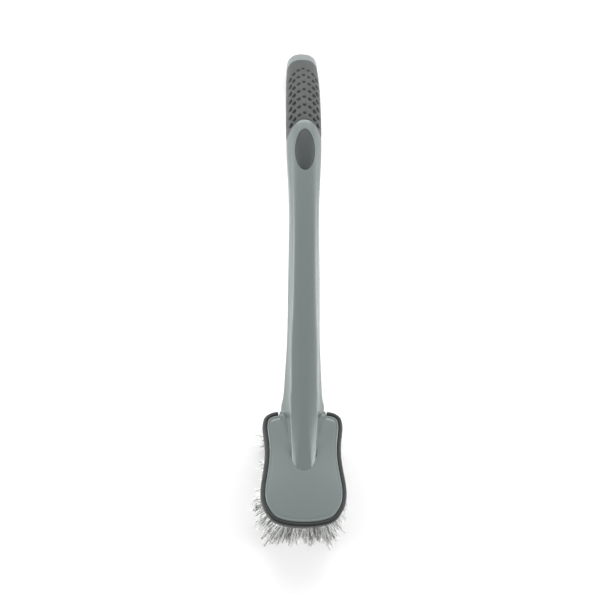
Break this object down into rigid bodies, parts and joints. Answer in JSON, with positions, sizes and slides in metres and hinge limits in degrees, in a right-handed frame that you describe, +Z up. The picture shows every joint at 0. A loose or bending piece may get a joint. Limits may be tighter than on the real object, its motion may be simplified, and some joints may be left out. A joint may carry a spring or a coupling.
{
  "type": "wheel brush",
  "caption": "Long-handled scrub brush with a curved soft-grip handle, a tilted paddle head with a soft bumper rim, and a tufted block of crimped bristles underneath.",
  "frame": {"origin": "centre of the bounding box's base: the surface that the brush lies on", "axes": "+Y from the head along the handle to the grip, +Z up away from the surface it lies on, +X across, so the bristles face down and a little towards the toe"},
  "size_m": [0.0554, 0.3186, 0.0571],
  "materials": {
    "hard_grey": "glossy moulded polypropylene, light cool grey",
    "hard_grey_cap": "glossy moulded polypropylene, light cool grey",
    "soft_grip": "matte soft-touch elastomer, mid grey",
    "soft_pad": "matte soft-touch elastomer, dark grey",
    "soft_bumper": "matte elastomer, dark grey",
    "block": "drilled polypropylene, grey",
    "steel": "stainless",
    "anchor_wire": "flat staple wire",
    "bristle": "crimped translucent filament, white and grey mixed"
  },
  "bodies": {
    "root": {"handle_core": "hard_grey", "end_cap": "hard_grey_cap", "grip_sleeve": "soft_grip", "thumb_pad": "soft_pad", "head_bumper": "soft_bumper", "bristle_block": "block", "block_screws": "steel", "tuft_anchors": "anchor_wire", "tuft_row_1": "bristle", "tuft_row_2": "bristle", "tuft_row_3": "bristle", "tuft_row_4": "bristle", "tuft_row_5": "bristle", "tuft_row_6": "bristle", "tuft_row_7": "bristle", "tuft_row_8": "bristle", "tuft_row_9": "bristle"}
  },
  "joints": []
}
